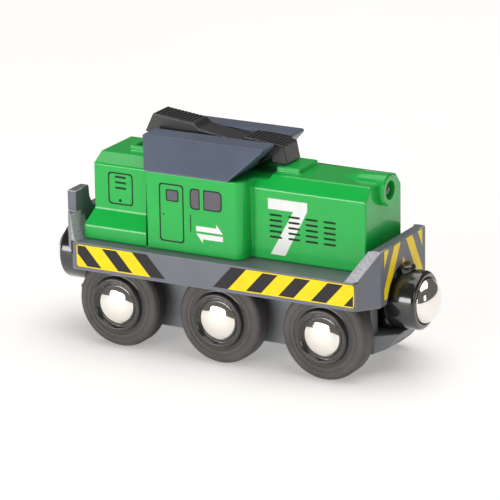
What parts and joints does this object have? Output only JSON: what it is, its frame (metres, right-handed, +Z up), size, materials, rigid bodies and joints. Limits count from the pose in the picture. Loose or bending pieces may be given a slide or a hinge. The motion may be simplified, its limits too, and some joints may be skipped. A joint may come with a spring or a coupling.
{
  "type": "toy train locomotive",
  "caption": "Battery-driven toy locomotive for wooden railway track, with geared rear wheels, magnet couplers that swing and a roof rocker switch.",
  "frame": {"origin": "centre of the bounding box's bottom face, on the running surface under the wheels, midway between the two coupler magnets", "axes": "+X forward along the loco towards the headlight end, +Y to the loco's left, +Z up"},
  "size_m": [0.1058, 0.0372, 0.0577],
  "materials": {
    "green_shell": "glossy moulded green plastic",
    "slate_frame": "slate grey moulded plastic, satin on the skirt and finely grained on the ramps",
    "roof_grey": "satin blue-grey moulded plastic",
    "chassis_grey": "finely textured grey moulded plastic",
    "tyre_rubber": "matte dark grey-brown rubber",
    "black_plastic": "glossy black moulded plastic",
    "chrome_caps": "polished nickel-chrome plate",
    "brass_parts": "bright brass",
    "gear_plastic": "natural acetal",
    "cell_wrap": "printed foil sleeve, plain dark blue",
    "board": "green circuit board",
    "lamp_lens": "clear white lamp dome",
    "steel_parts": "bright steel"
  },
  "bodies": {
    "chassis": {"battery_cell": "cell_wrap", "battery_spring": "steel_parts", "body_screw": "steel_parts", "body_shell": "green_shell", "bottom_cover": "chassis_grey", "cab_roof": "roof_grey", "chassis_screw_front_left": "steel_parts", "chassis_screw_front_right": "steel_parts", "chassis_screw_rear_left": "steel_parts", "chassis_screw_rear_right": "steel_parts", "circuit_board": "board", "cover_screw_front": "steel_parts", "cover_screw_rear": "steel_parts", "frame": "slate_frame", "front_contact": "brass_parts", "front_coupler_pin": "steel_parts", "headlight_led": "lamp_lens", "idler_pin": "steel_parts", "lower_chassis": "chassis_grey", "motor_can": "steel_parts", "motor_end_bell": "black_plastic", "rear_contact": "brass_parts", "rear_coupler_pin": "steel_parts", "rocker_pin": "steel_parts", "switch_block": "black_plastic"},
    "rear_wheelset": {"rear_axle": "steel_parts", "rear_right_tyre": "tyre_rubber", "rear_right_wheel": "black_plastic", "rear_right_cap": "chrome_caps", "rear_left_tyre": "tyre_rubber", "rear_left_wheel": "black_plastic", "rear_left_cap": "chrome_caps", "axle_gear": "gear_plastic"},
    "middle_wheelset": {"middle_axle": "steel_parts", "middle_right_tyre": "tyre_rubber", "middle_right_wheel": "black_plastic", "middle_right_cap": "chrome_caps", "middle_left_tyre": "tyre_rubber", "middle_left_wheel": "black_plastic", "middle_left_cap": "chrome_caps"},
    "front_wheelset": {"front_axle": "steel_parts", "front_right_tyre": "tyre_rubber", "front_right_wheel": "black_plastic", "front_right_cap": "chrome_caps", "front_left_tyre": "tyre_rubber", "front_left_wheel": "black_plastic", "front_left_cap": "chrome_caps"},
    "idler": {"idler_gear": "gear_plastic"},
    "rotor": {"motor_pinion": "brass_parts"},
    "front_coupler_body": {"front_coupler": "black_plastic"},
    "rear_coupler_body": {"rear_coupler": "black_plastic"},
    "front_magnet_body": {"front_magnet": "chrome_caps"},
    "rear_magnet_body": {"rear_magnet": "chrome_caps"},
    "rocker": {"rocker_switch": "black_plastic"}
  },
  "joints": [
    {"name": "rear_axle_spin", "type": "hinge", "parent": "chassis", "child": "rear_wheelset", "pos_m": [-0.0271, 0, 0.0113], "axis": [0, 1, 0], "continuous": true},
    {"name": "middle_axle_spin", "type": "hinge", "parent": "chassis", "child": "middle_wheelset", "pos_m": [0.0015, 0, 0.0113], "axis": [0, 1, 0], "continuous": true},
    {"name": "front_axle_spin", "type": "hinge", "parent": "chassis", "child": "front_wheelset", "pos_m": [0.0301, 0, 0.0113], "axis": [0, 1, 0], "continuous": true},
    {"name": "idler_spin", "type": "hinge", "parent": "chassis", "child": "idler", "pos_m": [-0.02309, 0.006, 0.01703], "axis": [0, 1, 0], "continuous": true},
    {"name": "motor_spin", "type": "hinge", "parent": "chassis", "child": "rotor", "pos_m": [-0.02309, 0.006, 0.02383], "axis": [0, 1, 0], "continuous": true},
    {"name": "front_coupler_swing", "type": "hinge", "parent": "chassis", "child": "front_coupler_body", "pos_m": [0.0393, 0, 0.0182], "axis": [0, 0, 1], "range_deg": [-8, 8]},
    {"name": "front_magnet_spin", "type": "hinge", "parent": "front_coupler_body", "child": "front_magnet_body", "pos_m": [0.045, 0, 0.0182], "axis": [1, 0, 0], "continuous": true},
    {"name": "rear_coupler_swing", "type": "hinge", "parent": "chassis", "child": "rear_coupler_body", "pos_m": [-0.0393, 0, 0.0182], "axis": [0, 0, 1], "range_deg": [-8, 8]},
    {"name": "rear_magnet_spin", "type": "hinge", "parent": "rear_coupler_body", "child": "rear_magnet_body", "pos_m": [-0.045, 0, 0.0182], "axis": [1, 0, 0], "continuous": true},
    {"name": "rocker_tilt", "type": "hinge", "parent": "chassis", "child": "rocker", "pos_m": [-0.0053, 0, 0.052], "axis": [0, 1, 0], "range_deg": [-11, 0]}
  ],
  "couplings": [
    {"joint": "idler_spin", "follows": "rear_axle_spin", "ratio": -2.5},
    {"joint": "motor_spin", "follows": "rear_axle_spin", "ratio": 8.125}
  ]
}
